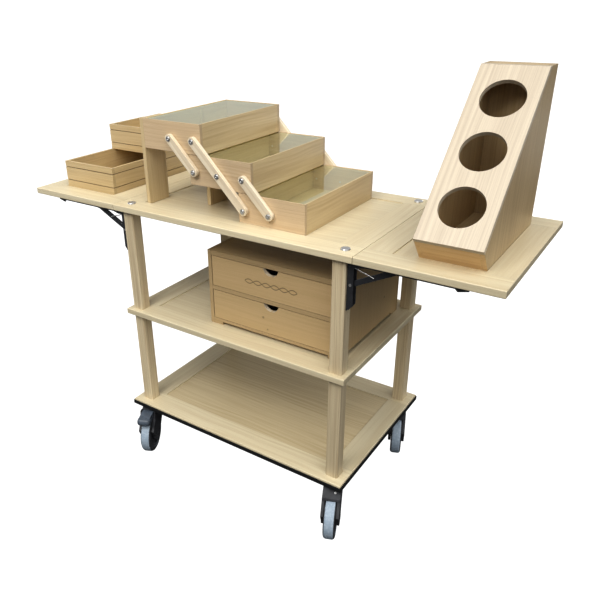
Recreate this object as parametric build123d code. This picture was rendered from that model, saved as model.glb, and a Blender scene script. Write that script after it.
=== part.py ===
from build123d import *
import math
import os

# Food service trolley: three oak tiers on four posts, two drop flaps on folding
# brackets, swivel casters, a three-tier swing-out tray unit, two crates, a
# sloped dispenser box and a two-drawer chest.
# Millimetres. +X to the right along the long side, +Y to the back, +Z up.
# Dimensions are given from the floor under the middle of the wooden tiers;
# SHIFT_Y then puts the origin under the middle of the overall box.

# ---- driving dimensions -------------------------------------------------------
SHIFT_Y = 29.626         # the front casters reach further out than the back
TOP_Z = 830.0            # upper face of the top tier's rails
TIER_STEP = 328.0        # height from one tier to the next
BOARD_T = 18.0           # thickness of rails and stiles
PANEL_T = 10.0           # thickness of the infill panels
RECESS = 2.5             # the panels lie this far below the rails
EDGE_R = 2.5             # rounded arris of the boards

TOP_HALF_X = 380.0       # fixed centre part of the top
TOP_HALF_Y = 250.0
FLAP_REACH = 718.0       # outer end of a raised flap
JOINT_GAP = 1.0          # gap between the centre part and a flap
MIDDLE_HALF = (373.0, 250.0)
BOTTOM_HALF = (380.0, 259.0)
RAIL_W = 65.0

POST_W = 36.0
POST_X = 340.0           # post centres
POST_Y = 218.0
POST_CHAMFER = 3.0
CAP_BOLTS_X = (-338.0, 346.0)    # the bolts over the posts, left and right
CAP_BOLT_Y = 216.0

BAND_T = 3.0             # black bumper strip round the bottom tier
BAND_H = 11.0

# folding brackets, in the plane of the posts' outer faces
PIVOT = (367.0, 801.5)   # arm pivot (x, z) on the right-hand side
RIVET = (367.0, 749.0)   # strut rivet
SPRING_PIN = (372.0, 794.0)
ARM_END = 640.0
STRUT_REACH = 104.0      # strut's upper end, measured along the arm
STRUT_W = 13.0
WIRE_R = 1.2
STEEL_T = 2.0

# casters
CASTER_H = 156.0
WHEEL_R = 62.5
TYRE_W = 32.0
HUB_R = 48.0
CHEEK_R = 24.0           # lower end of the fork round the axle
TRAIL = 45.0             # wheel axle behind the swivel axis
FORK_W = 50.0
CASTERS = {
    "front_left": (-1, -1, 295.0, True),
    "front_right": (1, -1, 292.0, False),
    "back_left": (-1, 1, 304.0, True),
    "back_right": (1, 1, 292.0, False),
}

# swing-out tray unit
TRAY_X = 198.0
TRAY_Y = 369.0
TRAY_H = 79.0
TRAY_WALL = 9.0
TRAY_BASE = 6.0
TRAY_STEP = 80.0         # vertical distance between two trays
PIVOT_PITCH = 78.5       # half the horizontal distance between two trays
PIVOT_UP = 36.0          # pivots above a tray's underside
BOTTOM_TRAY_X = 119.0    # centre of the bottom tray
TRAY_FRONT = -184.5
TRAY_FLOOR = TOP_Z - RECESS
LINK_W = 24.0
LINK_T = 12.0
LINK_GAP = 1.0            # between a tray and its links
PIN_R = 3.0
RUNNING = 0.05           # radial clearance of every turning joint
GLASS_T = 3.0
LEG_BOARD_T = 12.0
LEG_BOARD_W = 78.0

# loose boxes
CRATE_X = (-654.0, -448.0)
LOWER_CRATE_Y = (-177.0, 178.0)
UPPER_CRATE_Y = (20.0, 178.0)
CRATE_H = 79.5
DISPENSER_X = (502.5, 654.5)
DISPENSER_Y = (-165.0, 184.5)
DISPENSER_H = 380.5
DISPENSER_WALL = 12.0
HOLE_R = 50.0
HOLES_UP = (92.0, 231.0, 370.0)   # hole centres, measured up the sloping face
CHEST_X = (-102.0, 320.0)
CHEST_Y = (-175.0, 184.0)
CHEST_H = 226.0
CHEST_GAP = 9.0                   # the chest stands on low feet


# ---- small helpers -------------------------------------------------------------
def block(x, y, z):
    """A box between low and high limits given as pairs."""
    centre = [(low + high) / 2 for low, high in (x, y, z)]
    size = [high - low for low, high in (x, y, z)]
    return Pos(*centre) * Box(*size)


def bar_y(x, z, radius, y_low, y_high):
    """A round bar along Y."""
    middle = (y_low + y_high) / 2
    return Pos(x, middle, z) * Rot(90, 0, 0) * Cylinder(radius, y_high - y_low)


def prism_y(points, y_low, y_high):
    """A polygon in the XZ plane, extruded along Y."""
    outline = Polyline(*[(x, 0, z) for x, z in points], close=True)
    face = make_face(outline)
    return extrude(Pos(0, y_low, 0) * face, amount=y_high - y_low, dir=(0, 1, 0))


def prism_x(points, x_low, x_high):
    """A polygon in the YZ plane, extruded along X."""
    outline = Polyline(*[(0, y, z) for y, z in points], close=True)
    face = make_face(outline)
    return extrude(Pos(x_low, 0, 0) * face, amount=x_high - x_low, dir=(1, 0, 0))


def pieces(shape):
    """The separate solids of a shape."""
    return list(shape.solids())


def save(name, *solids):
    """Write one named sub-part as its own STEP file."""
    flat = [Pos(0, SHIFT_Y, 0) * solid for shape in solids for solid in pieces(shape)]
    group = Compound(children=flat, label=name)
    export_step(group, os.path.join("parts", name + ".step"))


def mirror_x(shape):
    """The same piece on the left-hand side."""
    return mirror(shape, about=Plane.YZ)


# ---- tiers -----------------------------------------------------------------------
def framed_board(x, y, z_top, stiles, joint_low=False, joint_high=False):
    """Two rails along X, two stiles along Y and a panel glued in between them."""
    slab = block(x, y, (z_top - BOARD_T, z_top))
    soft = []
    crisp = []
    for edge in slab.edges():
        spot = edge.center()
        if abs(spot.Z - z_top + BOARD_T / 2) < 1:
            continue
        at_joint = (joint_low and abs(spot.X - x[0]) < 1) or (joint_high and abs(spot.X - x[1]) < 1)
        (crisp if at_joint else soft).append(edge)
    slab = fillet(soft, EDGE_R)
    if crisp:
        ends = [x[0]] * joint_low + [x[1]] * joint_high
        again = [e for e in slab.edges() if any(abs(e.center().X - end) < 0.01 for end in ends)]
        again = [e for e in again if e.length > 100]
        slab = chamfer(again, 0.6)
    inner_x = (x[0] + stiles[0], x[1] - stiles[1])
    inner_y = (y[0] + stiles[2], y[1] - stiles[2])
    panel_z = (z_top - RECESS - PANEL_T, z_top - RECESS)
    panel = block(inner_x, inner_y, panel_z)
    ring = slab - block(inner_x, inner_y, (z_top - 50, z_top + 50))
    rails = []
    for side in ((y[0] - 1, inner_y[0]), (inner_y[1], y[1] + 1)):
        rails += pieces(ring & block((x[0] - 1, x[1] + 1), side, (z_top - 50, z_top + 50)))
    bars = []
    for side in ((x[0] - 1, inner_x[0]), (inner_x[1], x[1] + 1)):
        bars += pieces(ring & block(side, inner_y, (z_top - 50, z_top + 50)))
    return rails + bars, panel


def corners():
    return [(sx, sy) for sx in (-1, 1) for sy in (-1, 1)]


def bolt_axis(sx, sy, z):
    """A point on the axis of the bolt over one post."""
    return Pos(CAP_BOLTS_X[0] if sx < 0 else CAP_BOLTS_X[1], sy * CAP_BOLT_Y, z)


def cap_hole(sx, sy):
    """Clearance hole for the bolt over one post."""
    return bolt_axis(sx, sy, TOP_Z - BOARD_T / 2) * Cylinder(4.5, BOARD_T + 2)


def make_top():
    frame, panel = framed_board(
        (-TOP_HALF_X, TOP_HALF_X), (-TOP_HALF_Y, TOP_HALF_Y), TOP_Z,
        (RAIL_W, RAIL_W, RAIL_W), joint_low=True, joint_high=True,
    )
    drilled = []
    for part in frame:
        for sx, sy in corners():
            part = part - cap_hole(sx, sy)
        drilled += pieces(part)
    save("top_frame", *drilled)
    save("top_panel", panel)


def make_flaps():
    inner = TOP_HALF_X + JOINT_GAP
    frame, panel = framed_board(
        (inner, FLAP_REACH), (-TOP_HALF_Y, TOP_HALF_Y), TOP_Z, (66.0, 63.0, RAIL_W), joint_low=True,
    )
    save("right_flap_frame", *frame)
    save("right_flap_panel", panel)
    save("left_flap_frame", *[mirror_x(part) for part in frame])
    save("left_flap_panel", mirror_x(panel))


def make_shelves():
    half_x, half_y = MIDDLE_HALF
    frame, panel = framed_board(
        (-half_x, half_x), (-half_y, half_y), TOP_Z - TIER_STEP, (74.0, 52.0, RAIL_W),
    )
    save("middle_shelf_frame", *frame)
    save("middle_shelf_panel", panel)
    half_x, half_y = BOTTOM_HALF
    z_top = TOP_Z - 2 * TIER_STEP
    frame, panel = framed_board((-half_x, half_x), (-half_y, half_y), z_top, (74.0, 64.0, 74.0))
    save("bottom_shelf_frame", *frame)
    save("bottom_shelf_panel", panel)
    band_z = (z_top - BOARD_T + 1, z_top - BOARD_T + 1 + BAND_H)
    outside = block((-half_x - BAND_T, half_x + BAND_T), (-half_y - BAND_T, half_y + BAND_T), band_z)
    outside = fillet(outside.edges().filter_by(Axis.Z), 3.0)
    inside = block((-half_x, half_x), (-half_y, half_y), band_z)
    save("bumper_strip", outside - inside)


def make_posts():
    segments = []
    bolts = []
    for sx, sy in corners():
        for tier in (1, 2):
            foot = TOP_Z - tier * TIER_STEP
            post = Pos(sx * POST_X, sy * POST_Y, foot) * Box(
                POST_W, POST_W, TIER_STEP - BOARD_T, align=(Align.CENTER, Align.CENTER, Align.MIN)
            )
            post = chamfer(post.edges().filter_by(Axis.Z), POST_CHAMFER)
            if tier == 1:
                post = post - bolt_axis(sx, sy, TOP_Z - BOARD_T - 30) * Cylinder(4.0 + RUNNING, 61)
            segments.append(post)
        shank = bolt_axis(sx, sy, TOP_Z - 35) * Cylinder(4.0, 70)
        dome = bolt_axis(sx, sy, TOP_Z + 2.25) * Cylinder(12.0, 4.5)
        dome = fillet(dome.edges().group_by(Axis.Z)[-1], 3.5)
        bolts.append(dome + shank)
    save("legs", *segments)
    save("cap_bolts", *bolts)


# ---- folding brackets ---------------------------------------------------------------
def disc(x, z, radius, y_low, y_high):
    return bar_y(x, z, radius, y_low, y_high)


def upright(y):
    """Channel screwed to a post: web on the post, flanges outwards."""
    face = POST_X + POST_W / 2
    low, high = 681.0, 808.5
    web = block((face, face + STEEL_T), (y - 8.5, y + 8.5), (low, high))
    profile = [(face, high), (face + 16.5, high), (face + 16.5, low + 16), (face + 8, low + 4), (face, low + 4)]
    body = web
    for side in (-8.5, 6.5):
        body = body + prism_y(profile, y + side, y + side + STEEL_T)
    for (x, z), radius in ((PIVOT, 3.0), (RIVET, 3.0), (SPRING_PIN, 1.5)):
        body = body - bar_y(x, z, radius, y - 12, y + 12)
    return body


def bracket_pins(y):
    """Arm pin, strut rivet and spring pin."""
    px, pz = PIVOT
    arm_pin = bar_y(px, pz, 3.0, y - 13, y + 13) + bar_y(px, pz, 3.8, y - 14, y - 13)
    arm_pin = arm_pin + bar_y(px, pz, 3.8, y + 13, y + 14)
    rx, rz = RIVET
    rivet = bar_y(rx, rz, 3.0, y - 9.5, y + 9.5) + bar_y(rx, rz, 3.6, y - 9.9, y - 8.5)
    rivet = rivet + bar_y(rx, rz, 3.6, y + 8.5, y + 9.9)
    sx, sz = SPRING_PIN
    return [arm_pin, rivet, bar_y(sx, sz, 1.5, y - 8.5, y + 8.5)]


def arm(y):
    """Channel under the flap: web against the flap, shallow flanges, a stop near the end."""
    px, pz = PIVOT
    under = TOP_Z - BOARD_T
    start = TOP_HALF_X + JOINT_GAP + 3
    lip = under - 11
    profile = [
        (px, pz + 6), (start, under), (ARM_END, under), (ARM_END, lip), (ARM_END - 24, lip - 6),
        (ARM_END - 30, lip), (start + 20, lip), (start, pz - 5.5), (px, pz - 5.5),
    ]
    body = block((start, ARM_END), (y - 12, y + 12), (under - STEEL_T, under))
    for side in (-12.0, 10.0):
        flange = prism_y(profile, y + side, y + side + STEEL_T)
        flange = flange + disc(px, pz, 6.0, y + side, y + side + STEEL_T)
        body = body + flange
    return body - bar_y(px, pz, 3.0 + RUNNING, y - 20, y + 20)


def strut(y):
    """Flat bar from the rivet to a cross pin that slides inside the arm."""
    x0, z0 = RIVET
    x1, z1 = PIVOT[0] + STRUT_REACH, PIVOT[1]
    length = math.hypot(x1 - x0, z1 - z0)
    half = STRUT_W / 2
    nx, nz = -(z1 - z0) / length * half, (x1 - x0) / length * half
    sides = [(x0 + nx, z0 + nz), (x1 + nx, z1 + nz), (x1 - nx, z1 - nz), (x0 - nx, z0 - nz)]
    body = prism_y(sides, y - 3, y + 3)
    body = body + disc(x0, z0, half, y - 3, y + 3) + disc(x1, z1, half, y - 3, y + 3)
    body = body + bar_y(x1, z1, 3.0, y - 9.5, y + 9.5)
    return body - bar_y(x0, z0, 3.0 + RUNNING, y - 20, y + 20)


def spring_wire(y):
    """Thin wire from the spring pin to the middle of the strut."""
    sx, sz = SPRING_PIN
    end_x, end_z = sx + 52.0, sz - 16.0
    length = math.hypot(52.0, 16.0)
    tilt = math.degrees(math.atan2(-16.0, 52.0))
    middle = Pos((sx + end_x) / 2, y, (sz + end_z) / 2)
    wire = middle * Rot(0, -tilt, 0) * Rot(0, 90, 0) * Cylinder(WIRE_R, length)
    eye = bar_y(sx, sz, 3.0, y - WIRE_R, y + WIRE_R)
    return (eye + wire) - bar_y(sx, sz, 1.5 + RUNNING, y - 4, y + 4)


def make_brackets():
    rows = (-POST_Y, POST_Y)
    wires = (-POST_Y - 4.7, POST_Y + 4.7)
    uprights = [upright(y) for y in rows]
    pins = [pin for y in rows for pin in bracket_pins(y)]
    arms = [arm(y) for y in rows]
    struts = [strut(y) for y in rows]
    springs = [spring_wire(y) for y in wires]
    save("bracket_uprights", *uprights, *[mirror_x(p) for p in uprights])
    save("bracket_pins", *pins, *[mirror_x(p) for p in pins])
    for name, group in (("arms", arms), ("struts", struts), ("spring_wires", springs)):
        save("right_" + name, *group)
        save("left_" + name, *[mirror_x(p) for p in group])


# ---- casters -------------------------------------------------------------------------
def caster_place(sx, sy, heading):
    """From a caster's own axes (X along its trail) to its place under the trolley."""
    return Pos(sx * POST_X, sy * POST_Y, 0) * Rot(0, 0, heading)


def fork(braked):
    """Moulded fork: a crown under the plate and two cheeks beside the wheel."""
    half = FORK_W / 2
    outline = [
        (-24, 150), (28, 150), (57, 132), (60, 124), (86, 92),
        (TRAIL + CHEEK_R, WHEEL_R), (TRAIL - CHEEK_R, WHEEL_R), (-12, 104),
    ]
    body = prism_y(outline, -half, half) + disc(TRAIL, WHEEL_R, CHEEK_R, -half, half)
    if braked:
        for side in (-half, half - 3.5):
            body = body + prism_y([(36, 140), (42, 149), (54, 149), (60, 128)], side, side + 3.5)
    inside = TYRE_W / 2 + 1
    body = body - disc(TRAIL, WHEEL_R, WHEEL_R + 2.5, -inside, inside)
    body = body - block((-60, 130), (-inside, inside), (-5, 90))
    body = body + Pos(0, 0, 151.45) * Cylinder(26.0, 2.9)
    body = body - bar_y(TRAIL, WHEEL_R, 5.0, -40, 40)
    body = body - Pos(0, 0, 145) * Cylinder(6.0 + RUNNING, 20)
    if braked:
        body = body - bar_y(48, 144, 2.0 + RUNNING, -40, 40)
    return body


def hood_rivet():
    """Domed rivet on the sloping hood of a fork without a pedal."""
    tilt = math.degrees(math.atan2(18, 29))
    rivet = Pos(42.5, 10, 142.2) * Rot(0, tilt, 0) * Cylinder(3.5, 2.0)
    return fillet(rivet.edges().group_by(Axis.Z)[-1], 0.8)


def hub():
    """Wheel centre with a dished face and a bore for the axle."""
    body = bar_y(TRAIL, WHEEL_R, HUB_R, -15, 15)
    for side in (-1, 1):
        dish = disc(TRAIL, WHEEL_R, 38.0, 0, 4) - disc(TRAIL, WHEEL_R, 14.0, -1, 5)
        body = body - Pos(0, 11 if side > 0 else -15, 0) * dish
    body = body + bar_y(TRAIL, WHEEL_R, 12.0, -TYRE_W / 2 - 0.5, TYRE_W / 2 + 0.5)
    return body - bar_y(TRAIL, WHEEL_R, 5.0 + RUNNING, -40, 40)


def tyre():
    """Grey tread ring with rounded shoulders."""
    outer = bar_y(TRAIL, WHEEL_R, WHEEL_R, -TYRE_W / 2, TYRE_W / 2)
    outer = fillet(outer.edges(), 8.0)
    return outer - bar_y(TRAIL, WHEEL_R, HUB_R, -40, 40)


def axle():
    body = bar_y(TRAIL, WHEEL_R, 5.0, -FORK_W / 2, FORK_W / 2)
    for low, high in ((-FORK_W / 2 - 1.2, -FORK_W / 2), (FORK_W / 2, FORK_W / 2 + 1.2)):
        body = body + bar_y(TRAIL, WHEEL_R, 8.0, low, high)
    return body


def pedal():
    """Foot pedal with a bulbous nose, rocking on two stub pins in the fork."""
    outline = [
        (44, 142), (59, 135.5), (66, 131), (84, 127), (92, 126),
        (94, 147), (80, 148), (66, 149), (50, 149.5), (44, 148),
    ]
    nose = bar_y(92, 136.5, 13.0, -21, 21)
    nose = fillet(nose.edges(), 8.0)
    return prism_y(outline, -18, 18) + nose + bar_y(48, 144, 2.0, -24.5, 24.5)


def make_casters():
    plates = []
    for name, (sx, sy, heading, braked) in CASTERS.items():
        place = caster_place(sx, sy, heading)
        rivets = [] if braked else [place * hood_rivet()]
        save(name + "_fork", place * fork(braked), *rivets)
        save(name + "_hub", place * hub())
        save(name + "_tyre", place * tyre())
        save(name + "_axle", place * axle())
        if braked:
            save(name + "_pedal", place * pedal())
        plate = Pos(sx * POST_X, sy * POST_Y, CASTER_H - 1.5) * Box(75, 75, 3.0)
        plate = fillet(plate.edges().filter_by(Axis.Z), 8.0)
        kingpin = Pos(sx * POST_X, sy * POST_Y, 146) * Cylinder(6.0, 16)
        plates.append(plate + kingpin)
    save("caster_plates", *plates)


# ---- swing-out tray unit ----------------------------------------------------------------
def tray_centre(level):
    """Centre x and underside z of tray 0, 1 or 2 in the opened position."""
    return BOTTOM_TRAY_X - 2 * PIVOT_PITCH * level, TRAY_FLOOR + TRAY_STEP * level


def tray_pivots(level):
    """Pivot x positions used on each tray: left, centre, right of its middle."""
    x, z = tray_centre(level)
    used = {0: (-1, 0), 1: (-1, 0, 1), 2: (0, 1)}[level]
    return [(x + step * PIVOT_PITCH, z + PIVOT_UP) for step in used]


def tray_y():
    return TRAY_FRONT, TRAY_FRONT + TRAY_Y


def make_tray(name, level, leg_board=None, guides=False):
    """Four walls with a glass rebate, a base and, on two trays, a leg board."""
    x, z = tray_centre(level)
    left, right = x - TRAY_X / 2, x + TRAY_X / 2
    front, back = tray_y()
    height = (z, z + TRAY_H)
    glass_z = (z + TRAY_H - GLASS_T - 1, z + TRAY_H + 5)
    glass = block((left + 4, right - 4), (front + 4, back - 4), glass_z)
    walls = [
        block((left, right), (front, front + TRAY_WALL), height),
        block((left, right), (back - TRAY_WALL, back), height),
        block((left, left + TRAY_WALL), (front + TRAY_WALL, back - TRAY_WALL), height),
        block((right - TRAY_WALL, right), (front + TRAY_WALL, back - TRAY_WALL), height),
    ]
    walls = [wall - glass for wall in walls]
    for px, pz in tray_pivots(level):
        bore = bar_y(px, pz, PIN_R, front - 1, back + 1)
        walls = [wall - bore for wall in walls[:2]] + walls[2:]
    inner_x = (left + TRAY_WALL, right - TRAY_WALL)
    inner_y = (front + TRAY_WALL, back - TRAY_WALL)
    parts = walls + [block(inner_x, inner_y, (z, z + TRAY_BASE))]
    if guides:
        for low, high in ((inner_x[0], inner_x[0] + 4), (inner_x[1] - 4, inner_x[1])):
            parts.append(block((low, high), (47, 57), (z + TRAY_BASE, z + TRAY_H - GLASS_T - 2)))
    if leg_board:
        y_low, foot = leg_board
        parts.append(block((left - LEG_BOARD_T, left), (y_low, y_low + LEG_BOARD_W), (foot, z + TRAY_H)))
    save(name, *parts)
    pane_x = (left + 4.3, right - 4.3)
    pane_y = (front + 4.3, back - 4.3)
    pane_z = (z + TRAY_H - GLASS_T - 1, z + TRAY_H - 1)
    save(name + "_lid", block(pane_x, pane_y, pane_z))
    save(name + "_pins", *tray_pins(level))


def tray_pins(level):
    """Shoulder screws through the links into the front and back walls."""
    front, back = tray_y()
    pins = []
    for px, pz in tray_pivots(level):
        for wall, out in ((front, -1), (back, 1)):
            head = wall + out * (LINK_GAP + LINK_T)
            spans = (
                (PIN_R, wall - out * TRAY_WALL, head),
                (6.5, wall, wall + out * 0.9),
                (7.0, head + out * 0.1, head + out * 1.1),
                (5.0, head + out * 1.0, head + out * 3.6),
            )
            pin = None
            for radius, a, b in spans:
                piece = bar_y(px, pz, radius, min(a, b), max(a, b))
                pin = piece if pin is None else pin + piece
            pin = pin + bar_y(px, pz, PIN_R, min(head, head + out * 0.5), max(head, head + out * 0.5))
            socket = bar_y(px, pz, 2.2, min(head + out * 1.8, head + out * 5), max(head + out * 1.8, head + out * 5))
            pins.append(pin - socket)
    return pins


def link(points):
    """Round-ended links, front and back, through two or three pivots."""
    front, back = tray_y()
    (x0, z0), (x1, z1) = points[0], points[-1]
    length = math.hypot(x1 - x0, z1 - z0)
    nx = -(z1 - z0) / length * LINK_W / 2
    nz = (x1 - x0) / length * LINK_W / 2
    sides = [(x0 + nx, z0 + nz), (x1 + nx, z1 + nz), (x1 - nx, z1 - nz), (x0 - nx, z0 - nz)]
    links = []
    for low in (front - LINK_GAP - LINK_T, back + LINK_GAP):
        high = low + LINK_T
        body = prism_y(sides, low, high)
        body = body + disc(x0, z0, LINK_W / 2, low, high) + disc(x1, z1, LINK_W / 2, low, high)
        rims = [e for e in body.edges() if min(abs(e.center().Y - low), abs(e.center().Y - high)) < 0.01]
        body = fillet(rims, 1.5)
        for px, pz in points:
            body = body - bar_y(px, pz, PIN_R + RUNNING, low - 5, high + 5)
        links.append(body)
    return links


def make_tray_unit():
    bottom, middle, top = tray_pivots(0), tray_pivots(1), tray_pivots(2)
    make_tray("bottom_tray", 0)
    make_tray("middle_tray", 1, leg_board=(TRAY_FRONT + LEG_BOARD_W + 1, TRAY_FLOOR + 0.5))
    make_tray("top_tray", 2, leg_board=(TRAY_FRONT, TRAY_FLOOR + 0.5), guides=True)
    save("long_links", *link([bottom[0], middle[1], top[1]]))
    save("lower_links", *link([bottom[1], middle[2]]))
    save("upper_links", *link([middle[0], top[0]]))


# ---- loose boxes -----------------------------------------------------------------------
def make_crate(name, y, floor):
    """Open crate: four walls with two grooves outside, and a base."""
    x = CRATE_X
    z = (floor, floor + CRATE_H)
    walls = [
        block(x, (y[0], y[0] + TRAY_WALL), z),
        block(x, (y[1] - TRAY_WALL, y[1]), z),
        block((x[0], x[0] + TRAY_WALL), (y[0] + TRAY_WALL, y[1] - TRAY_WALL), z),
        block((x[1] - TRAY_WALL, x[1]), (y[0] + TRAY_WALL, y[1] - TRAY_WALL), z),
    ]
    for share in (0.22, 0.73):
        level = z[1] - share * CRATE_H
        groove_z = (level - 1, level + 1)
        ring = block((x[0] - 5, x[1] + 5), (y[0] - 5, y[1] + 5), groove_z)
        ring = ring - block((x[0] + 1.5, x[1] - 1.5), (y[0] + 1.5, y[1] - 1.5), groove_z)
        walls = [wall - ring for wall in walls]
    inner_x = (x[0] + TRAY_WALL, x[1] - TRAY_WALL)
    inner_y = (y[0] + TRAY_WALL, y[1] - TRAY_WALL)
    save(name, *walls, block(inner_x, inner_y, (floor, floor + TRAY_BASE)))


def make_dispenser():
    """Sloped box with three round openings in its face."""
    x_low, x_high = DISPENSER_X
    y_low, y_high = DISPENSER_Y
    floor = TOP_Z - RECESS
    top = floor + DISPENSER_H
    wall = DISPENSER_WALL
    chin = (y_low - 48.5, floor + 58.5)
    brow = (y_low + 280.0, top)
    slope = math.atan2(brow[1] - chin[1], brow[0] - chin[0])
    along = (math.cos(slope), math.sin(slope))
    into = (math.sin(slope), -math.cos(slope))
    inner_chin = (chin[0] + wall * into[0], chin[1] + wall * into[1])
    inner_brow_y = brow[0] + wall / math.sin(slope)
    profile = [(y_low, floor), inner_chin, (inner_brow_y, top), (y_high, top), (y_high, floor)]
    cheeks = [prism_x(profile, x, x + wall) for x in (x_low, x_high - wall)]
    save("dispenser_cheeks", *cheeks)

    face = prism_x([chin, brow, (inner_brow_y, top), inner_chin], x_low, x_high)
    for distance in HOLES_UP:
        y = chin[0] + along[0] * distance
        z = chin[1] + along[1] * distance
        bore = Pos((x_low + x_high) / 2, y, z) * Rot(math.degrees(slope), 0, 0) * Cylinder(HOLE_R, 60)
        face = face - bore
    save("dispenser_face", face)

    inner = (x_low + wall, x_high - wall)
    run = math.hypot(chin[0] - y_low, chin[1] - floor)
    inward = ((chin[1] - floor) / run * wall, (y_low - chin[0]) / run * wall)
    lip = [(y_low, floor), inner_chin, (inner_chin[0] + inward[0], inner_chin[1] + inward[1]),
           (y_low + wall * 1.3, floor)]
    back = block(inner, (y_high - wall, y_high), (floor, top))
    cap = prism_x(
        [(inner_brow_y, top), (y_high - wall, top), (y_high - wall, top - wall),
         (inner_brow_y - wall / math.tan(slope), top - wall)], *inner,
    )
    base = block(inner, (y_low + wall * 1.3, y_high - wall), (floor, floor + wall))
    save("dispenser_case", back, cap, base, prism_x(lip, *inner))


def drawer(x, z, y_front):
    """Drawer with a half-moon finger notch in its front."""
    width = (x[0] + 2.0, x[1] - 2.0)
    z_low, z_high = z[0] + 1.0, z[1] - 1.5
    front = block(width, (y_front, y_front + 12), (z_low, z_high))
    middle = (width[0] + width[1]) / 2
    front = front - bar_y(middle, z_high + 5, 24.5, y_front - 1, y_front + 13)
    y_back = y_front + 330
    z_side = (z_low, z_high - 8)
    left = block((width[0], width[0] + 8), (y_front + 12, y_back), z_side)
    right = block((width[1] - 8, width[1]), (y_front + 12, y_back), z_side)
    inner = (width[0] + 8, width[1] - 8)
    back = block(inner, (y_back - 8, y_back), z_side)
    base = block(inner, (y_front + 12, y_back - 8), (z_low, z_low + 4))
    return front, left, right, back, base


def make_chest():
    x_low, x_high = CHEST_X
    y_low, y_high = CHEST_Y
    floor = TOP_Z - TIER_STEP - RECESS
    top = floor + CHEST_H
    side = 12.0
    inner = (x_low + side, x_high - side)
    deep = (y_low, y_high - 8)
    sides = [block((x_low, x_low + side), deep, (floor, top)), block((x_high - side, x_high), deep, (floor, top))]
    lid = block(inner, deep, (top - 14, top))
    rail = block(inner, deep, (floor + 108.5, floor + 120.5))
    base = block(inner, deep, (floor + CHEST_GAP, floor + 18.5))
    back = block((x_low, x_high), (y_high - 8, y_high), (floor, top))
    slot = block((x_low - 5, x_high + 5), (y_low + 40, y_high - 40), (floor - 1, floor + CHEST_GAP))
    sides = [part - slot for part in sides]
    feet = []
    for low, high in ((inner[0], inner[0] + 30), (inner[1] - 22, inner[1])):
        feet.append(block((low, high), (y_low, y_low + 12), (floor, floor + CHEST_GAP)))
    save("chest_carcass", *sides, lid, rail, base, back, *feet)
    save("upper_drawer", *drawer(inner, (floor + 120.5, top - 14), y_low))
    save("lower_drawer", *drawer(inner, (floor + 18.5, floor + 108.5), y_low))


def main():
    os.makedirs("parts", exist_ok=True)
    make_top()
    make_flaps()
    make_shelves()
    make_posts()
    make_brackets()
    make_casters()
    make_tray_unit()
    make_crate("lower_crate", LOWER_CRATE_Y, TOP_Z - RECESS)
    make_crate("upper_crate", UPPER_CRATE_Y, TOP_Z - RECESS + CRATE_H)
    make_dispenser()
    make_chest()


main()
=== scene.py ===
"""Looks of the food service trolley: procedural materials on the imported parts, studio light, camera.

Metres in the scene; the material functions work in millimetres, because grain is easier to read that way.
"""

import math
import random
import bpy
from mathutils import Matrix, Vector

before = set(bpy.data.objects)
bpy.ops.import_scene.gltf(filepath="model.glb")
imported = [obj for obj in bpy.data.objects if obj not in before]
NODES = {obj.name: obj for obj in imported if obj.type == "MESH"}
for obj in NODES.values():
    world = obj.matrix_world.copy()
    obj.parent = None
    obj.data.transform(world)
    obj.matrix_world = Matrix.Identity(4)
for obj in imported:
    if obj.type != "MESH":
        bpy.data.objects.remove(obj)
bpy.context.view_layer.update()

MM = 0.001
SHIFT_Y = 29.626 * MM        # the trolley's own middle lies this far behind the frame's origin

SLOPE = math.atan2(322.0, 328.5)              # the dispenser's face against the horizontal
LINK_RISE = (-78.5, 0.0, 80.0)                # direction from a link's lower pivot to its upper one

TIERS = ["top_frame", "top_panel", "middle_shelf_frame", "middle_shelf_panel",
         "bottom_shelf_frame", "bottom_shelf_panel"]
FLAPS = ["left_flap_frame", "left_flap_panel", "right_flap_frame", "right_flap_panel"]
TRAYS = ["bottom_tray", "middle_tray", "top_tray"]
LIDS = ["bottom_tray_lid", "middle_tray_lid", "top_tray_lid"]
LINKS = ["long_links", "upper_links", "lower_links"]
CRATES = ["lower_crate", "upper_crate"]
CRATE_GROOVES = (0.22, 0.73)                  # share of a crate's height, from its rim
BRIGHT_PARTS = ["cap_bolts", "bottom_tray_pins", "middle_tray_pins", "top_tray_pins",
                "left_spring_wires", "right_spring_wires", "caster_plates"]
BLACK_PARTS = ["bracket_uprights", "left_arms", "right_arms", "left_struts", "right_struts"]
# Which way each caster trails, in degrees from +X.
CASTERS = {"front_left": 295.0, "front_right": 292.0, "back_left": 304.0, "back_right": 292.0}
BRAKED = ["front_left", "back_left"]
PAINTED_PIN_Z = 770.0                         # mm; bracket pins above this height are painted

FLOOR_TONE = (0.08, 0.08, 0.08)
FLOOR_GLOW = 0.95                             # added for the camera only
BRIGHT_SKY = (0.44, -0.30, 0.85)              # where the sky is brightest: high up, front right
SKY_EDGE = 0.58                               # cosine at which the bright patch has faded out
SKY_LOW = 0.04
SKY_HIGH = 2.95
MIRRORED_SKY = 0.50                           # what panes and lacquer mirror
LAMP_TARGET = (0, 0, 0.75)
COOL_WHITE = (0.96, 0.98, 1.0)
WARM_WHITE = (1.0, 0.985, 0.96)


# ---- boards: where the grain runs ---------------------------------------------------------
def solids_of(mesh):
    """Polygon numbers of each closed solid, in file order: a solid ends when no edge is left open."""
    groups = []
    current = []
    open_edges = set()
    for polygon in mesh.polygons:
        current.append(polygon.index)
        corners = [tuple(round(c, 6) for c in mesh.vertices[i].co) for i in polygon.vertices]
        for start, end in zip(corners, corners[1:] + corners[:1]):
            if (end, start) in open_edges:
                open_edges.remove((end, start))
            else:
                open_edges.add((start, end))
        if not open_edges:
            groups.append(current)
            current = []
    if current:
        groups.append(current)
    return groups


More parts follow.
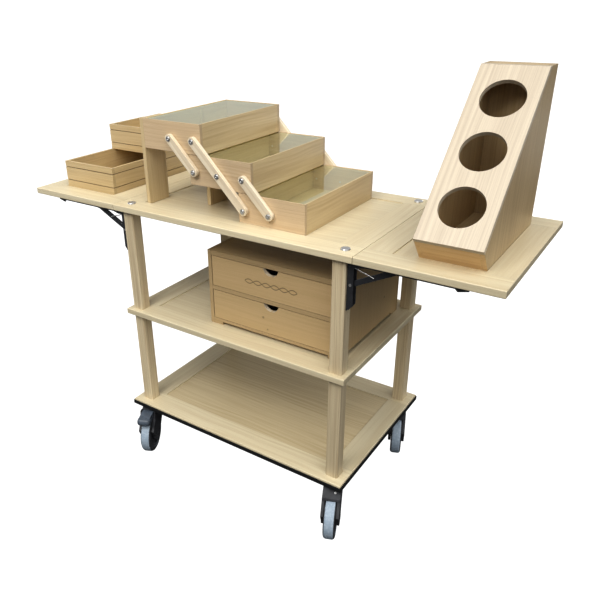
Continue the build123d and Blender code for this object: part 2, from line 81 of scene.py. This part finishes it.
def board_axes(points, along=None):
    """Unit vectors along the grain, across the board and through its thickness."""
    if along is None:
        low = [min(p[k] for p in points) for k in range(3)]
        high = [max(p[k] for p in points) for k in range(3)]
        order = sorted(range(3), key=lambda k: low[k] - high[k])
        units = [Vector([1.0 if j == k else 0.0 for j in range(3)]) for k in order]
        return units
    along = Vector(along).normalized()
    across = Vector((0, 1, 0)) if abs(along.y) < 0.5 else Vector((1, 0, 0))
    across = (across - along * across.dot(along)).normalized()
    return [along, across, along.cross(across)]


def store(mesh, name, kind, domain, values):
    """Writes one attribute; kind is FLOAT or FLOAT_VECTOR."""
    layer = mesh.attributes.new(name, kind, domain)
    if kind == "FLOAT_VECTOR":
        layer.data.foreach_set("vector", [c for value in values for c in value])
    else:
        layer.data.foreach_set("value", values)


def upright_cheeks(points):
    """Grain upwards on boards that face left or right, along the longest side on all others."""
    width = max(p.x for p in points) - min(p.x for p in points)
    return (0, 0, 1) if width < 20 * MM else None


def tag_boards(name, along=None):
    """Stores each vertex's place inside its own board in mm, and a random number per board."""
    mesh = NODES[name].data
    rng = random.Random(name)
    place = [(0.0, 0.0, 0.0)] * len(mesh.vertices)
    half = [(0.0, 0.0, 0.0)] * len(mesh.vertices)
    number = [0.0] * len(mesh.vertices)
    end_grain = [0.0] * len(mesh.polygons)
    boards = []
    for group in solids_of(mesh):
        used = sorted({i for p in group for i in mesh.polygons[p].vertices})
        points = [mesh.vertices[i].co for i in used]
        axes = board_axes(points, along(points) if callable(along) else along)
        spans = [[p.dot(axis) / MM for p in points] for axis in axes]
        centre = [(min(s) + max(s)) / 2 for s in spans]
        size = [(max(s) - min(s)) / 2 for s in spans]
        value = rng.random()
        for k, i in enumerate(used):
            place[i] = [spans[a][k] - centre[a] for a in range(3)]
            half[i] = size
            number[i] = value
        for p in group:
            end_grain[p] = abs(mesh.polygons[p].normal.dot(axes[0]))
        boards.append((group, axes, size))
    store(mesh, "grain_place", "FLOAT_VECTOR", "POINT", place)
    store(mesh, "board_half", "FLOAT_VECTOR", "POINT", half)
    store(mesh, "board_number", "FLOAT", "POINT", number)
    store(mesh, "end_grain", "FLOAT", "FACE", end_grain)
    return boards


# ---- a short way to write shader nodes -----------------------------------------------------
class Shader:
    """One material's node tree, with one method per kind of node."""

    def __init__(self, name):
        self.material = bpy.data.materials.new(name)
        self.material.use_nodes = True
        self.tree = self.material.node_tree
        self.surface = self.tree.nodes["Principled BSDF"]

    def node(self, kind, **settings):
        node = self.tree.nodes.new(kind)
        for key, value in settings.items():
            setattr(node, key, value)
        return node

    def put(self, socket, value):
        """Links a socket, or sets it to a plain value."""
        if isinstance(value, bpy.types.NodeSocket):
            self.tree.links.new(value, socket)
        elif value is not None:
            socket.default_value = value

    def attribute(self, name, output="Vector"):
        return self.node("ShaderNodeAttribute", attribute_name=name).outputs[output]

    def math(self, operation, a, b=None, clamp=False):
        node = self.node("ShaderNodeMath", operation=operation, use_clamp=clamp)
        self.put(node.inputs[0], a)
        self.put(node.inputs[1], b)
        return node.outputs[0]

    def vector(self, operation, a, b=None, output=0):
        node = self.node("ShaderNodeVectorMath", operation=operation)
        self.put(node.inputs[0], a)
        self.put(node.inputs[1], b)
        return node.outputs[output]

    def split(self, vector):
        node = self.node("ShaderNodeSeparateXYZ")
        self.put(node.inputs[0], vector)
        return node.outputs[0], node.outputs[1], node.outputs[2]

    def join(self, x, y, z):
        node = self.node("ShaderNodeCombineXYZ")
        for socket, value in zip(node.inputs, (x, y, z)):
            self.put(socket, value)
        return node.outputs[0]

    def noise(self, vector, detail=2.0, roughness=0.5):
        node = self.node("ShaderNodeTexNoise")
        self.put(node.inputs["Vector"], vector)
        node.inputs["Scale"].default_value = 1.0
        node.inputs["Detail"].default_value = detail
        node.inputs["Roughness"].default_value = roughness
        return node.outputs["Fac"]

    def stretched_noise(self, place, lengths, detail=2.0, roughness=0.5):
        """Noise whose features have the given lengths in mm along the three axes."""
        scaled = self.vector("MULTIPLY", place, [1.0 / length for length in lengths])
        return self.noise(scaled, detail, roughness)

    def spread(self, value, low, high, new_low=0.0, new_high=1.0):
        node = self.node("ShaderNodeMapRange", interpolation_type="SMOOTHSTEP")
        for socket, number in zip(node.inputs, (value, low, high, new_low, new_high)):
            self.put(socket, number)
        return node.outputs[0]

    def mix(self, factor, a, b, blend="MIX"):
        node = self.node("ShaderNodeMix", data_type="RGBA", blend_type=blend)
        self.put(node.inputs[0], factor)
        self.put(node.inputs[6], a)
        self.put(node.inputs[7], b)
        return node.outputs[2]

    def bump(self, height, distance_mm, strength=1.0, normal=None):
        node = self.node("ShaderNodeBump")
        node.inputs["Strength"].default_value = strength
        node.inputs["Distance"].default_value = distance_mm * MM
        self.put(node.inputs["Height"], height)
        self.put(node.inputs["Normal"], normal)
        return node.outputs[0]

    def soft_edges(self, radius_mm):
        """Normals rounded near sharp edges, as if every arris were eased by this radius."""
        node = self.node("ShaderNodeBevel", samples=4)
        node.inputs["Radius"].default_value = radius_mm * MM
        return node.outputs[0]

    def edge_wear(self, radius_mm):
        """1 on sharp edges, 0 on flat faces."""
        rounded = self.soft_edges(radius_mm)
        flat = self.node("ShaderNodeNewGeometry").outputs["Normal"]
        agreement = self.vector("DOT_PRODUCT", rounded, flat, output="Value")
        return self.spread(agreement, 0.98, 0.85)

    def object_place(self):
        """Position in mm in the trolley's frame, unmoved by poses."""
        spot = self.node("ShaderNodeTexCoord").outputs["Object"]
        return self.vector("MULTIPLY", spot, (1000.0, 1000.0, 1000.0))


def from_middle(x, y, z):
    """A place in mm, given from the trolley's own middle."""
    return (x, y + SHIFT_Y / MM, z)


def rgb(colour):
    return (*colour, 1.0)


# ---- materials --------------------------------------------------------------------------------
def knot_mask(s, knots):
    """1 inside small oval knots, each given as a place in mm and a radius."""
    spot = s.object_place()
    mask = 0.0
    for place, radius in knots:
        away = s.vector("LENGTH", s.vector("SUBTRACT", spot, place), output="Value")
        mask = s.math("MAXIMUM", mask, s.spread(away, radius, radius * 0.35))
    return mask


def twist_mask(s, centre, half_length, height, wave, width):
    """1 on an engraved ornament of two crossing waves on a front face."""
    x, _, z = s.split(s.vector("SUBTRACT", s.object_place(), centre))
    curve = s.math("MULTIPLY", s.math("SINE", s.math("MULTIPLY", x, math.tau / wave)), height)
    above = s.math("ABSOLUTE", s.math("SUBTRACT", z, curve))
    below = s.math("ABSOLUTE", s.math("ADD", z, curve))
    line = s.spread(s.math("MINIMUM", above, below), width, width * 0.5)
    inside = s.spread(s.math("ABSOLUTE", x), half_length, half_length - 1.0)
    return s.math("MULTIPLY", line, inside)


def wood(name, light, dark, ring=5.0, figure=1.0, swing=10.0, gloss=0.42, knots=(), twist=None):
    """Lacquered oak. Rings wind round a pith outside each board, so faces, edges and ends agree."""
    s = Shader(name)
    place = s.attribute("grain_place")
    number = s.attribute("board_number", "Fac")
    along, across, through = s.split(place)
    offset = s.math("MULTIPLY", number, 4000.0)
    shifted = s.join(s.math("ADD", along, offset), across, s.math("ADD", through, offset))

    drift = s.stretched_noise(shifted, (320.0, 130.0, 130.0), detail=1.0)
    drift = s.math("MULTIPLY", s.math("SUBTRACT", drift, 0.5), swing * 4.0)
    pith_across = s.math("ADD", s.math("ADD", across, drift), s.math("MULTIPLY_ADD", number, 160.0))
    pith_through = s.math("ADD", through, 70.0)
    flat = s.join(pith_across, pith_through, 0.0)
    radius = s.vector("LENGTH", flat, output="Value")
    ring_place = s.join(s.math("DIVIDE", radius, ring), s.math("DIVIDE", along, 900.0), offset)
    rings = s.noise(ring_place, detail=3.0, roughness=0.6)

    fibres = s.stretched_noise(shifted, (70.0, 0.9, 0.9), detail=2.0)
    streaks = s.stretched_noise(shifted, (240.0, 7.0, 7.0), detail=3.0)
    pores = s.stretched_noise(shifted, (7.0, 0.35, 0.35), detail=1.0)
    pores = s.spread(pores, 0.66, 0.74)

    tone = s.spread(rings, 0.36, 0.66)
    tone = s.math("MULTIPLY", tone, 0.5 * figure)
    tone = s.math("ADD", tone, s.math("MULTIPLY", s.spread(streaks, 0.35, 0.7), 0.35 * figure))
    tone = s.math("ADD", tone, s.math("MULTIPLY", fibres, 0.25), clamp=True)
    colour = s.mix(tone, rgb(light), rgb(dark))
    colour = s.mix(s.math("MULTIPLY", pores, 0.35), colour, rgb([c * 0.45 for c in dark]))

    board_tone = s.math("MULTIPLY_ADD", number, 0.16)
    board_tone.node.inputs[2].default_value = 0.90
    colour = s.mix(1.0, colour, s.join(board_tone, board_tone, board_tone), "MULTIPLY")
    ends = s.math("MULTIPLY", s.attribute("end_grain", "Fac"), 0.3)
    colour = s.mix(ends, colour, rgb([c * 0.62 for c in dark]))

    gap = s.vector("SUBTRACT", s.attribute("board_half"), s.vector("ABSOLUTE", place))
    a, b, c = s.split(gap)
    middle = s.math("MAXIMUM", s.math("MINIMUM", a, b), s.math("MINIMUM", s.math("MAXIMUM", a, b), c))
    joint = s.spread(middle, 0.55, 0.05)
    colour = s.mix(s.math("MULTIPLY", joint, 0.55), colour, rgb([c * 0.35 for c in dark]))
    worn = s.math("MULTIPLY", s.spread(middle, 2.2, 0.6), s.spread(streaks, 0.45, 0.75))
    colour = s.mix(s.math("MULTIPLY", worn, 0.25), colour, rgb([min(1.0, c * 1.15) for c in light]))

    height = s.math("SUBTRACT", s.math("MULTIPLY", fibres, 0.6), pores)
    if knots:
        knot = knot_mask(s, knots)
        colour = s.mix(s.math("MULTIPLY", knot, 0.7), colour, rgb([c * 0.35 for c in dark]))
    if twist:
        engraved = twist_mask(s, *twist)
        colour = s.mix(s.math("MULTIPLY", engraved, 0.8), colour, rgb([c * 0.25 for c in dark]))
        height = s.math("SUBTRACT", height, s.math("MULTIPLY", engraved, 3.0))
    normal = s.bump(height, 0.12, 0.35, s.soft_edges(0.8))
    s.put(s.surface.inputs["Base Color"], colour)
    s.put(s.surface.inputs["Roughness"], s.spread(fibres, 0.2, 0.8, gloss - 0.06, gloss + 0.12))
    s.put(s.surface.inputs["Normal"], normal)
    s.surface.inputs["Coat Weight"].default_value = 0.12
    s.surface.inputs["Coat Roughness"].default_value = 0.28
    return s.material


def steel(name, colour, roughness):
    """Bare bright steel, faintly brushed."""
    s = Shader(name)
    place = s.object_place()
    brushed = s.stretched_noise(place, (12.0, 12.0, 0.4), detail=2.0)
    blotch = s.stretched_noise(place, (9.0, 9.0, 9.0), detail=3.0)
    s.put(s.surface.inputs["Base Color"], s.mix(blotch, rgb(colour), rgb([c * 0.78 for c in colour])))
    s.put(s.surface.inputs["Roughness"], s.spread(blotch, 0.3, 0.7, roughness - 0.07, roughness + 0.1))
    s.put(s.surface.inputs["Normal"], s.bump(brushed, 0.03, 0.3, s.soft_edges(0.4)))
    s.surface.inputs["Metallic"].default_value = 1.0
    return s.material


def painted_steel(name, paint):
    """Dark lacquered bracket steel, worn to bare metal on its edges."""
    s = Shader(name)
    place = s.object_place()
    blotch = s.stretched_noise(place, (14.0, 14.0, 14.0), detail=4.0)
    speckle = s.stretched_noise(place, (1.1, 1.1, 1.1), detail=2.0)
    wear = s.math("MULTIPLY", s.edge_wear(0.7), s.spread(blotch, 0.42, 0.62))
    colour = s.mix(blotch, rgb(paint), rgb([c * 1.9 for c in paint]))
    s.put(s.surface.inputs["Base Color"], s.mix(wear, colour, rgb((0.36, 0.37, 0.39))))
    s.put(s.surface.inputs["Metallic"], s.math("MULTIPLY_ADD", wear, 0.5))
    s.put(s.surface.inputs["Roughness"], s.spread(speckle, 0.3, 0.7, 0.3, 0.48))
    s.put(s.surface.inputs["Normal"], s.bump(speckle, 0.05, 0.4, s.soft_edges(0.5)))
    return s.material


def plastic(name, colour, roughness=0.42):
    """Moulded black plastic with a fine spark-eroded grain and scuffed edges."""
    s = Shader(name)
    place = s.object_place()
    grain = s.stretched_noise(place, (0.6, 0.6, 0.6), detail=2.0)
    dust = s.stretched_noise(place, (22.0, 22.0, 22.0), detail=4.0)
    scuff = s.math("MULTIPLY", s.edge_wear(1.2), s.spread(dust, 0.4, 0.6))
    base = s.mix(s.spread(dust, 0.35, 0.7), rgb(colour), rgb([c * 1.6 for c in colour]))
    base = s.mix(s.math("MULTIPLY", scuff, 0.5), base, rgb([min(1.0, c * 4.0) for c in colour]))
    s.put(s.surface.inputs["Base Color"], base)
    s.put(s.surface.inputs["Roughness"], s.spread(dust, 0.3, 0.7, roughness - 0.06, roughness + 0.14))
    s.put(s.surface.inputs["Normal"], s.bump(grain, 0.06, 0.35, s.soft_edges(0.9)))
    return s.material


def rubber(name, colour, dirt, roughness=0.62):
    """Tread or strip rubber: matte, slightly mottled, with dustier patches."""
    s = Shader(name)
    place = s.object_place()
    mottle = s.stretched_noise(place, (6.0, 6.0, 6.0), detail=5.0, roughness=0.6)
    grit = s.stretched_noise(place, (0.8, 0.8, 0.8), detail=2.0)
    base = s.mix(s.spread(mottle, 0.4, 0.72), rgb(colour), rgb(dirt))
    s.put(s.surface.inputs["Base Color"], base)
    s.put(s.surface.inputs["Roughness"], s.spread(mottle, 0.3, 0.7, roughness - 0.08, roughness + 0.12))
    s.put(s.surface.inputs["Normal"], s.bump(grit, 0.08, 0.4, s.soft_edges(0.6)))
    return s.material


def glass(name):
    """Thin clear pane: faintly green, a few smears, bright only where it mirrors the studio."""
    s = Shader(name)
    place = s.object_place()
    smear = s.spread(s.stretched_noise(place, (60.0, 25.0, 60.0), detail=4.0), 0.5, 0.8)
    tree = s.tree
    tree.nodes.remove(s.surface)
    through = s.node("ShaderNodeBsdfTransparent")
    s.put(through.inputs[0], s.mix(smear, rgb((0.955, 0.985, 0.970)), rgb((0.93, 0.965, 0.95))))
    mirror = s.node("ShaderNodeBsdfGlossy")
    s.put(mirror.inputs["Color"], rgb((0.93, 1.0, 0.94)))
    s.put(mirror.inputs["Roughness"], s.spread(smear, 0.0, 1.0, 0.02, 0.10))
    fresnel = s.node("ShaderNodeFresnel")
    fresnel.inputs["IOR"].default_value = 1.52
    amount = s.math("MULTIPLY_ADD", smear, 0.03)
    s.put(amount.node.inputs[2], s.math("MULTIPLY", fresnel.outputs[0], 1.5))
    outside = s.math("SUBTRACT", 1.0, s.node("ShaderNodeNewGeometry").outputs["Backfacing"])
    amount = s.math("MULTIPLY", amount, outside)
    blend = s.node("ShaderNodeMixShader")
    s.put(blend.inputs[0], amount)
    s.put(blend.inputs[1], through.outputs[0])
    s.put(blend.inputs[2], mirror.outputs[0])
    s.put(tree.nodes["Material Output"].inputs["Surface"], blend.outputs[0])
    return s.material


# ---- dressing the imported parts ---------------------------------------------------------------
def dress(name, *materials):
    mesh = NODES[name].data
    mesh.materials.clear()
    for material in materials:
        mesh.materials.append(material)


def dress_wood(name, material, along=None):
    boards = tag_boards(name, along)
    dress(name, material)
    return boards


def dress_box(name, front, side, along=None):
    """Boards that face front or back get one wood, all others a second one."""
    boards = tag_boards(name, along)
    dress(name, front, side)
    mesh = NODES[name].data
    for group, axes, size in boards:
        faces_front = abs(axes[2].y) > 0.5 and size[1] > 2 * size[2]
        for p in group:
            mesh.polygons[p].material_index = 0 if faces_front else 1


def dress_drawer(name, front, cut):
    """The finger notch shows a paler, freshly cut edge."""
    dress_wood(name, front)
    mesh = NODES[name].data
    mesh.materials.append(cut)
    for polygon in mesh.polygons:
        slanting = max(abs(c) for c in polygon.normal) < 0.999
        polygon.material_index = 1 if slanting else 0


def dress_crate(name, wall, groove):
    """The two grooves round the outside get a darker oak than the walls: painted shade inside the grooves.
    """
    dress_wood(name, wall)
    mesh = NODES[name].data
    mesh.materials.append(groove)
    top = max(vertex.co.z for vertex in mesh.vertices)
    height = top - min(vertex.co.z for vertex in mesh.vertices)
    levels = [top - share * height for share in CRATE_GROOVES]
    for polygon in mesh.polygons:
        away = min(abs(polygon.center.z - level) for level in levels)
        polygon.material_index = 1 if away < 1.2 * MM else 0


def dress_dispenser(face, cheek, chin):
    """The strip under the sloping face is redder than the rest."""
    dress_wood("dispenser_face", face, (0, math.cos(SLOPE), math.sin(SLOPE)))
    dress_wood("dispenser_cheeks", cheek, (0, 0, 1))
    dress_wood("dispenser_case", cheek)
    for name in ("dispenser_cheeks", "dispenser_case"):
        mesh = NODES[name].data
        mesh.materials.append(chin)
        for polygon in mesh.polygons:
            leans_out = polygon.normal.z < -0.2 and polygon.normal.y < -0.5
            polygon.material_index = 1 if leans_out else 0


def dress_tyre(name, tread, wall, heading):
    """Grey tread, black side walls."""
    dress(name, tread, wall)
    mesh = NODES[name].data
    turn = math.radians(heading)
    axle = Vector((-math.sin(turn), math.cos(turn), 0.0))
    for polygon in mesh.polygons:
        sideways = abs(polygon.normal.dot(axle))
        polygon.material_index = 1 if sideways > 0.6 else 0


def dress_fork(name, body, rivet, braked):
    """A fork without a pedal ends in the solid of its hood rivet."""
    dress(name, body, rivet)
    mesh = NODES[name].data
    solids = solids_of(mesh)
    for p in solids[-1] if not braked else []:
        mesh.polygons[p].material_index = 1


# Light and dark tone of each oak, and how its grain runs.
OAKS = {
    "pale": ((0.73, 0.66, 0.48), (0.58, 0.48, 0.31), dict(ring=6.0, figure=0.7)),
    # shelf is a darker copy of pale: painted shade for the bottom shelf panel, which lies under the tiers
    # above it.
    "shelf": ((0.63, 0.54, 0.36), (0.48, 0.38, 0.22), dict(ring=5.0, figure=0.9)),
    "leg": ((0.74, 0.65, 0.46), (0.52, 0.41, 0.26), dict(ring=2.0, swing=4.0, figure=1.1)),
    "honey": ((0.61, 0.48, 0.27), (0.49, 0.36, 0.19), dict(ring=3.0, figure=0.8)),
    # groove is painted shade: a dark oak for the faces inside the crates' grooves.
    "groove": ((0.30, 0.20, 0.10), (0.20, 0.13, 0.06), dict()),
    "pink": ((0.68, 0.54, 0.36), (0.52, 0.38, 0.23), dict(ring=2.0, figure=0.8)),
    "ends": ((0.74, 0.60, 0.36), (0.56, 0.42, 0.23), dict(ring=3.0, figure=0.9)),
    "white": ((0.80, 0.72, 0.57), (0.62, 0.51, 0.36), dict(ring=3.0, swing=4.0, figure=0.9)),
    "chin": ((0.86, 0.64, 0.36), (0.68, 0.45, 0.21), dict(ring=4.0, figure=0.8)),
    "face": ((0.70, 0.62, 0.49), (0.52, 0.44, 0.34), dict(ring=3.0, swing=4.0, figure=0.9)),
    "cheek": ((0.60, 0.47, 0.28), (0.44, 0.32, 0.17), dict(ring=3.0, figure=0.9)),
}


def oak(name):
    light, dark, grain = OAKS[name]
    return wood("oak_" + name, light, dark, **grain)


def dress_tiers():
    pale = oak("pale")
    for name in TIERS + FLAPS:
        dress_wood(name, pale)
    # The bottom shelf panel gets the darker shelf oak as painted shade from the tiers above it.
    dress("bottom_shelf_panel", oak("shelf"))
    dress_wood("legs", oak("leg"))


def dress_loose_boxes(white):
    pink = oak("pink")
    ends = oak("ends")
    for name in TRAYS:
        dress_box(name, pink, ends)
    for name in LINKS:
        dress_wood(name, white, LINK_RISE)
    honey = oak("honey")
    # The dark groove oak is painted shade inside the crates' grooves.
    groove = oak("groove")
    for name in CRATES:
        dress_crate(name, honey, groove)
    dress_dispenser(oak("face"), oak("cheek"), oak("chin"))
    pane = glass("lid_glass")
    for name in LIDS:
        dress(name, pane)


def dress_chest(white):
    """The knots and the ornament keep their places on the boards when a drawer slides."""
    side_knots = ((from_middle(320.0, 86.0, 581.0), 5.0), (from_middle(320.0, 20.0, 655.0), 3.0))
    drawer_knots = ((from_middle(83.0, -175.0, 564.0), 5.0), (from_middle(97.0, -175.0, 530.0), 3.5))
    twist = (from_middle(108.0, -175.0, 662.0), 84.0, 6.0, 56.0, 1.7)
    # The carcass oak is darker than the drawer oak: painted shade for the lid and sides, which sit under the
    # top and the flap.
    chest = wood("oak_chest_painted_shade", (0.52, 0.39, 0.22), (0.41, 0.29, 0.145), ring=2.4, figure=0.6,
                 knots=side_knots)
    upper = wood("oak_upper_drawer", (0.62, 0.46, 0.26), (0.50, 0.36, 0.18), ring=2.4, figure=0.6,
                 twist=twist)
    lower = wood("oak_lower_drawer", (0.64, 0.48, 0.27), (0.51, 0.37, 0.19), ring=2.8, figure=0.6,
                 knots=drawer_knots)
    dress_wood("chest_carcass", chest, upright_cheeks)
    dress_drawer("upper_drawer", upper, white)
    dress_drawer("lower_drawer", lower, white)


def dress_metal(bright):
    for name in BRIGHT_PARTS:
        dress(name, bright)
    black = painted_steel("steel_black", (0.040, 0.042, 0.047))
    for name in BLACK_PARTS:
        dress(name, black)
    dress("bracket_pins", bright, black)
    for polygon in NODES["bracket_pins"].data.polygons:
        polygon.material_index = 1 if polygon.center.z > PAINTED_PIN_Z * MM else 0


def dress_casters(bright):
    body = plastic("caster_plastic", (0.034, 0.035, 0.039))
    tread = rubber("caster_tread", (0.31, 0.38, 0.45), (0.42, 0.48, 0.54), 0.5)
    for corner, heading in CASTERS.items():
        dress_fork(corner + "_fork", body, bright, corner in BRAKED)
        dress(corner + "_hub", body)
        dress_tyre(corner + "_tyre", tread, body, heading)
        dress(corner + "_axle", body)
    lever = plastic("pedal_plastic", (0.070, 0.086, 0.108), 0.34)
    for corner in BRAKED:
        dress(corner + "_pedal", lever)
    dress("bumper_strip", rubber("bumper_rubber", (0.004, 0.004, 0.004), (0.012, 0.012, 0.011), 0.55))


def dress_everything():
    white = oak("white")
    bright = steel("steel_bright", (0.80, 0.80, 0.80), 0.36)
    dress_tiers()
    dress_loose_boxes(white)
    dress_chest(white)
    dress_metal(bright)
    dress_casters(bright)


# ---- studio -----------------------------------------------------------------------------------
def make_floor():
    """Pale to the camera, darker to the light it throws back up at the trolley."""
    bpy.ops.mesh.primitive_plane_add(size=60.0, location=(0, 0, 0))
    floor = bpy.context.object
    floor.name = "studio_floor"
    s = Shader("studio_floor")
    place = s.object_place()
    cloud = s.stretched_noise(place, (900.0, 900.0, 900.0), detail=3.0)
    s.put(s.surface.inputs["Base Color"], s.mix(cloud, rgb(FLOOR_TONE), rgb([c * 0.97 for c in FLOOR_TONE])))
    s.surface.inputs["Roughness"].default_value = 0.8
    s.surface.inputs["Specular IOR Level"].default_value = 0.0
    s.surface.inputs["Emission Color"].default_value = (1.0, 1.0, 1.0, 1.0)
    seen = s.node("ShaderNodeLightPath").outputs["Is Camera Ray"]
    s.put(s.surface.inputs["Emission Strength"], s.math("MULTIPLY", seen, FLOOR_GLOW))
    floor.data.materials.append(s.material)


def area_light(name, place, target, size, power, colour):
    """Round soft lamp; metres and watts."""
    lamp = bpy.data.lights.new(name, "AREA")
    lamp.shape = "DISK"
    lamp.size = size
    lamp.energy = power
    lamp.color = colour
    holder = bpy.data.objects.new(name, lamp)
    bpy.context.scene.collection.objects.link(holder)
    holder.location = place
    holder.rotation_euler = (Vector(target) - Vector(place)).to_track_quat("-Z", "Y").to_euler()


def make_light():
    """White behind the trolley, a sky with one bright patch, a key lamp and two low fill lamps."""
    world = bpy.data.worlds.new("studio")
    world.use_nodes = True
    tree = world.node_tree
    background = tree.nodes["Background"]
    background.inputs[0].default_value = (1.0, 1.0, 1.0, 1.0)
    place = tree.nodes.new("ShaderNodeTexCoord")
    toward = tree.nodes.new("ShaderNodeVectorMath")
    toward.operation = "DOT_PRODUCT"
    toward.inputs[1].default_value = Vector(BRIGHT_SKY).normalized()
    tree.links.new(place.outputs["Generated"], toward.inputs[0])
    lit = tree.nodes.new("ShaderNodeMapRange")
    lit.inputs[1].default_value = SKY_EDGE
    lit.inputs[2].default_value = 1.0
    lit.inputs[3].default_value = SKY_LOW
    lit.inputs[4].default_value = SKY_HIGH
    tree.links.new(toward.outputs["Value"], lit.inputs[0])
    rays = tree.nodes.new("ShaderNodeLightPath")
    strength = lit.outputs[0]
    for kind, brightness in (("Is Glossy Ray", MIRRORED_SKY), ("Is Camera Ray", 1.0)):
        choice = tree.nodes.new("ShaderNodeMix")
        tree.links.new(rays.outputs[kind], choice.inputs[0])
        tree.links.new(strength, choice.inputs[2])
        choice.inputs[3].default_value = brightness
        strength = choice.outputs[0]
    tree.links.new(strength, background.inputs[1])
    bpy.context.scene.world = world
    area_light("key", (-0.2, -2.5, 3.1), (0, 0, 0.6), 1.6, 52.0, WARM_WHITE)
    area_light("back_fill", (0.4, 3.2, 0.5), LAMP_TARGET, 0.9, 22.0, COOL_WHITE)
    area_light("left_fill", (-3.4, -0.6, 0.5), LAMP_TARGET, 0.9, 22.0, COOL_WHITE)


def make_camera():
    """Stands at the front right, looks down and is rolled a little, with its axis left of the middle."""
    azimuth, elevation, roll = math.radians(35.26), math.radians(25.81), math.radians(1.24)
    back = Vector((math.sin(azimuth) * math.cos(elevation),
                   -math.cos(azimuth) * math.cos(elevation), math.sin(elevation)))
    right = Vector((math.cos(azimuth), math.sin(azimuth), 0.0))
    up = back.cross(right)
    tilted_right = right * math.cos(roll) - up * math.sin(roll)
    tilted_up = right * math.sin(roll) + up * math.cos(roll)
    lens = bpy.data.cameras.new("camera")
    lens.sensor_width = 36.0
    lens.lens = 38.22
    lens.shift_x = 0.0655
    lens.shift_y = 0.001
    camera = bpy.data.objects.new("camera", lens)
    bpy.context.scene.collection.objects.link(camera)
    turn = Matrix((tilted_right, tilted_up, back)).transposed().to_4x4()
    camera.matrix_world = Matrix.Translation((0.9727, -1.4439 + SHIFT_Y, 1.3645)) @ turn
    bpy.context.scene.camera = camera


def set_tone():
    """Plain colours with a little more contrast than the scene itself has."""
    view = bpy.context.scene.view_settings
    view.view_transform = "Standard"
    view.exposure = 0.22
    view.gamma = 0.82


dress_everything()
make_floor()
make_light()
make_camera()
set_tone()
